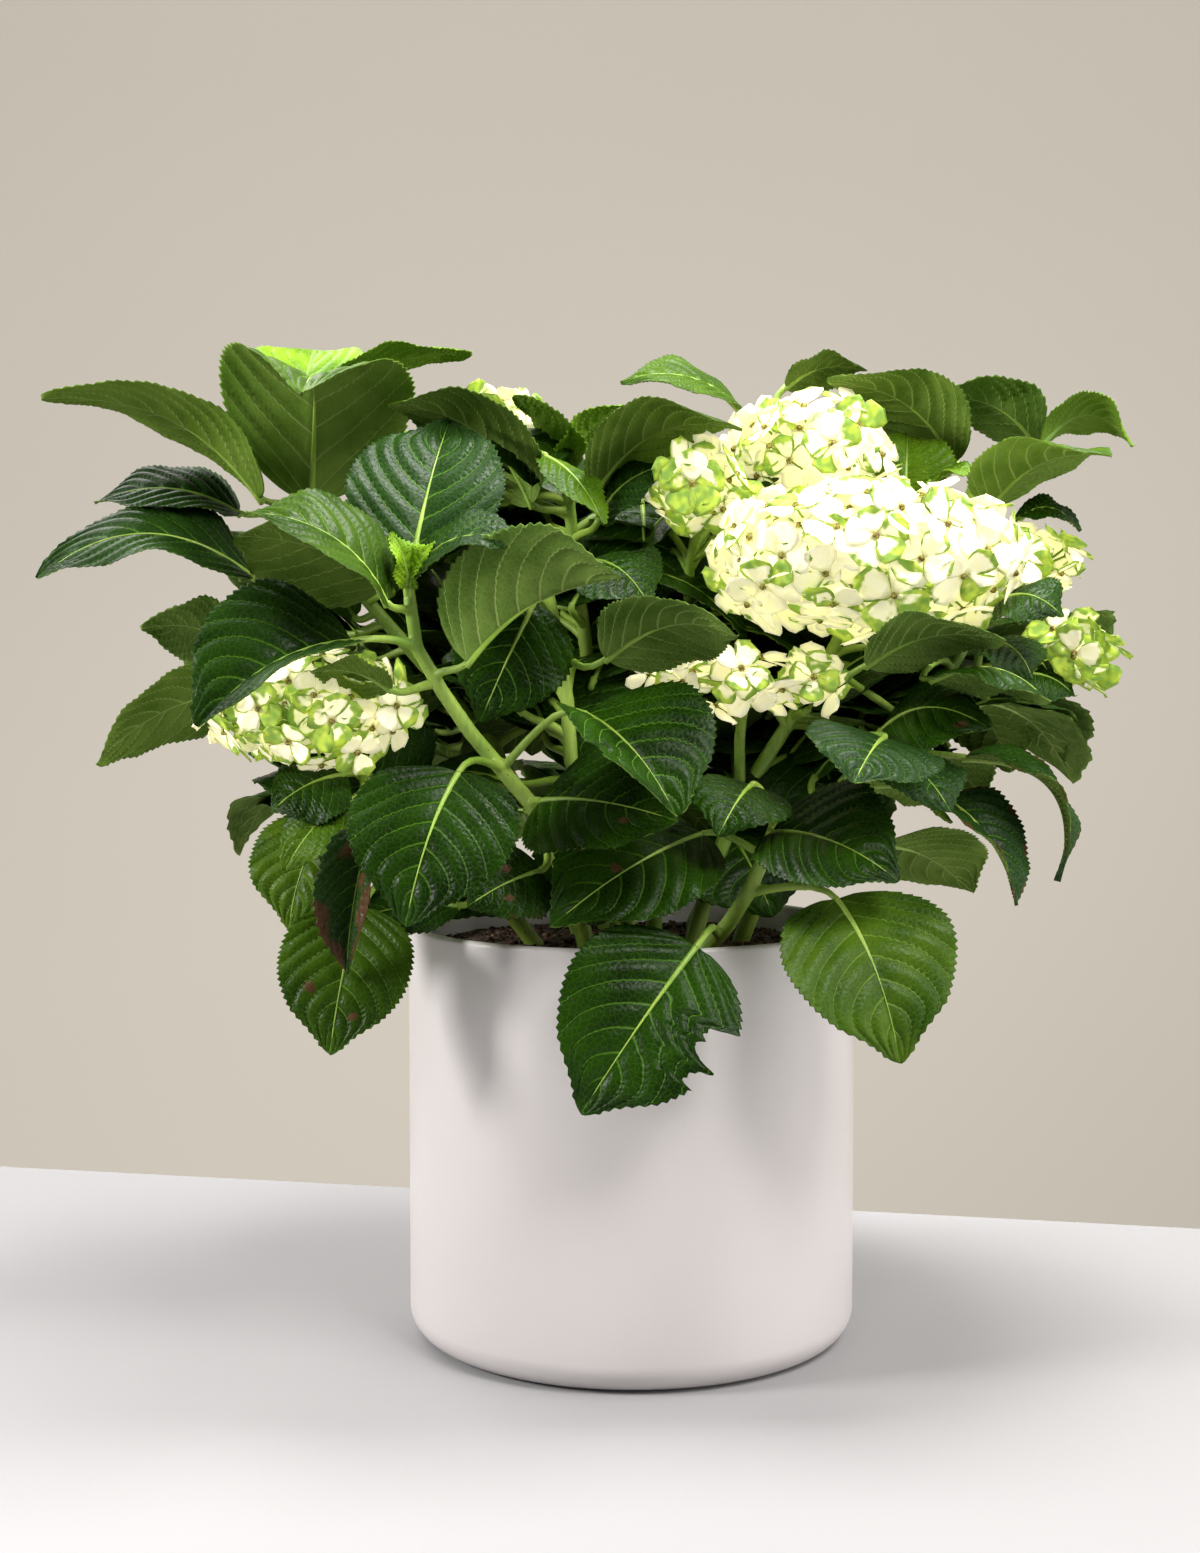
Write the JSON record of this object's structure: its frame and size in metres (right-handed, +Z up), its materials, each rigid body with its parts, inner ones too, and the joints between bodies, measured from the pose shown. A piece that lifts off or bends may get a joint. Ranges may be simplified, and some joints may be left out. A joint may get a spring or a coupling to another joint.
{
  "type": "potted hydrangea",
  "caption": "Bushy mophead hydrangea with broad toothed leaves and cream, green-edged flower heads, growing in soil in a plain round white planter.",
  "frame": {"origin": "centre of the planter's flat base, on the surface it stands on", "axes": "+Z up along the planter's axis, -Y towards the front of the plant, +X to the right as seen from the front"},
  "size_m": [0.5834, 0.4085, 0.5541],
  "materials": {
    "planter_glaze": "smooth white glaze, softly glossy",
    "soil": "loose dark brown potting soil, crumbly and matte",
    "cane": "smooth yellow-green stems with small brown specks, satin",
    "leaf": "quilted dark green upper side with a soft gloss, paler matte underside with raised veins",
    "petals": "cream-white petals with lime-green edges, matte and slightly see-through"
  },
  "bodies": {
    "root": {"planter": "planter_glaze", "soil": "soil", "cane_left_front": "cane", "cane_left": "cane", "cane_left_back": "cane", "cane_centre": "cane", "cane_centre_back": "cane", "cane_right_front": "cane", "cane_flower_front": "cane", "cane_right": "cane", "cane_right_back": "cane", "cane_top": "cane", "cane_back": "cane", "flower_left": "petals", "flower_top_left": "petals", "flower_top": "petals", "flower_top_small": "petals", "flower_front": "petals", "flower_low": "petals", "flower_right": "petals", "flower_right_low": "petals", "leaf_far_left_top": "leaf", "leaf_fan_left": "leaf", "leaf_crown_left": "leaf", "leaf_crown_right": "leaf", "leaf_left_shelf": "leaf", "leaf_far_left_mid": "leaf", "leaf_left_low": "leaf", "leaf_upright_blue": "leaf", "leaf_arching_left": "leaf", "leaf_big_left": "leaf", "leaf_folded_centre": "leaf", "leaf_top_left_arch": "leaf", "leaf_top_right_of_tip": "leaf", "leaf_top_behind": "leaf", "leaf_centre_under": "leaf", "leaf_saddle": "leaf", "leaf_round_front": "leaf", "leaf_low_front": "leaf", "leaf_big_front_left": "leaf", "leaf_left_droop": "leaf", "leaf_over_rim_left": "leaf", "leaf_over_rim_front": "leaf", "leaf_over_rim_right": "leaf", "leaf_low_right": "leaf", "leaf_grey_right": "leaf", "leaf_matte_right": "leaf", "leaf_twisted_right": "leaf", "leaf_hanging_right": "leaf", "leaf_arched_right": "leaf", "leaf_under_flower_right": "leaf", "leaf_long_right": "leaf", "leaf_top_right_arch": "leaf", "leaf_top_right_under": "leaf", "leaf_top_right_light": "leaf", "leaf_back_left": "leaf", "leaf_back_middle": "leaf", "leaf_back_right": "leaf", "leaf_back_low": "leaf", "leaf_back_low_left": "leaf"}
  },
  "joints": []
}
